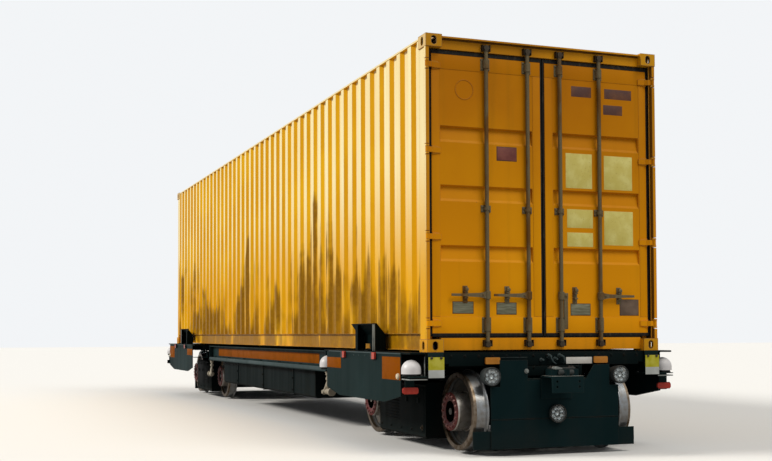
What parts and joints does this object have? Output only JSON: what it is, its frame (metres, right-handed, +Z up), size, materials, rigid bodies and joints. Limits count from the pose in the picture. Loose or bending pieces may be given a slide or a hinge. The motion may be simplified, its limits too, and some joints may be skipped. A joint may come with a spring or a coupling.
{
  "type": "battery-electric rail flatcar with container",
  "caption": "Self-propelled battery-electric rail flatcar on swivelling bogies, carrying a high-cube freight container with opening rear doors.",
  "frame": {"origin": "bottom centre of the vehicle, at the height of the wheel flanges' lowest points; the rail tops are 28 mm above it", "axes": "+X along the car towards the container's doors, +Y across it, +Z up"},
  "size_m": [12.95, 2.8478, 3.8388],
  "materials": {
    "machined_steel": "machined",
    "frame_paint": "semi-gloss",
    "drive_casting": "satin",
    "black_paint": "satin",
    "lamp_chrome": "polished",
    "cast_steel": "as cast",
    "white_plastic": "satin",
    "galvanised_steel": "galvanised",
    "container_paint": "semi-gloss",
    "floor_wood": "varnished",
    "seal_rubber": "matt",
    "amber_plastic": "lens",
    "red_plastic": "lens"
  },
  "bodies": {
    "car": {"amber_lamps": "amber_plastic", "battery_boxes": "black_paint", "corner_brackets": "frame_paint", "corner_castings": "container_paint", "corner_posts": "container_paint", "cross_bearers": "frame_paint", "dome_sensors": "white_plastic", "end_decks": "frame_paint", "end_frames": "container_paint", "floor_beams": "container_paint", "floor_boards": "floor_wood", "front_wall": "container_paint", "guides": "black_paint", "lock_cones": "cast_steel", "pipe_drops": "galvanised_steel", "pivots": "cast_steel", "red_lamps": "red_plastic", "roof": "container_paint", "side_panels": "frame_paint", "side_rails": "container_paint", "side_sills": "frame_paint", "side_walls": "container_paint", "spine": "frame_paint"},
    "bogie_front": {"coupler_front": "frame_paint", "cross_members_front": "frame_paint", "drive_units_front": "drive_casting", "headlamps_front": "lamp_chrome", "pilot_front": "frame_paint", "side_boxes_front": "black_paint", "side_frames_front": "frame_paint"},
    "bogie_rear": {"coupler_rear": "frame_paint", "cross_members_rear": "frame_paint", "drive_units_rear": "drive_casting", "headlamps_rear": "lamp_chrome", "pilot_rear": "frame_paint", "side_boxes_rear": "black_paint", "side_frames_rear": "frame_paint"},
    "wheelset_1": {"axle_1": "machined_steel", "wheels_1": "machined_steel"},
    "wheelset_2": {"axle_2": "machined_steel", "wheels_2": "machined_steel"},
    "wheelset_3": {"axle_3": "machined_steel", "wheels_3": "machined_steel"},
    "wheelset_4": {"axle_4": "machined_steel", "wheels_4": "machined_steel"},
    "door_left": {"door_leaf_left": "container_paint", "door_seal_left": "seal_rubber", "lock_gear_left": "galvanised_steel"},
    "door_right": {"door_leaf_right": "container_paint", "door_seal_right": "seal_rubber", "lock_gear_right": "galvanised_steel"}
  },
  "joints": [
    {"name": "bogie_front_swivel", "type": "hinge", "parent": "car", "child": "bogie_front", "pos_m": [4.81, 0, 0.75], "axis": [0, 0, 1], "range_deg": [-4, 4]},
    {"name": "bogie_rear_swivel", "type": "hinge", "parent": "car", "child": "bogie_rear", "pos_m": [-4.81, 0, 0.75], "axis": [0, 0, 1], "range_deg": [-4, 4]},
    {"name": "wheelset_1_spin", "type": "hinge", "parent": "bogie_front", "child": "wheelset_1", "pos_m": [5.86, 0, 0.393], "axis": [0, 1, 0], "continuous": true},
    {"name": "wheelset_2_spin", "type": "hinge", "parent": "bogie_front", "child": "wheelset_2", "pos_m": [3.76, 0, 0.393], "axis": [0, 1, 0], "continuous": true},
    {"name": "wheelset_3_spin", "type": "hinge", "parent": "bogie_rear", "child": "wheelset_3", "pos_m": [-3.76, 0, 0.393], "axis": [0, 1, 0], "continuous": true},
    {"name": "wheelset_4_spin", "type": "hinge", "parent": "bogie_rear", "child": "wheelset_4", "pos_m": [-5.86, 0, 0.393], "axis": [0, 1, 0], "continuous": true},
    {"name": "door_left_swing", "type": "hinge", "parent": "car", "child": "door_left", "pos_m": [6.078, -1.203, 2.4], "axis": [0, 0, -1], "range_deg": [0, 255]},
    {"name": "door_right_swing", "type": "hinge", "parent": "car", "child": "door_right", "pos_m": [6.078, 1.203, 2.4], "axis": [0, 0, 1], "range_deg": [0, 255]}
  ]
}
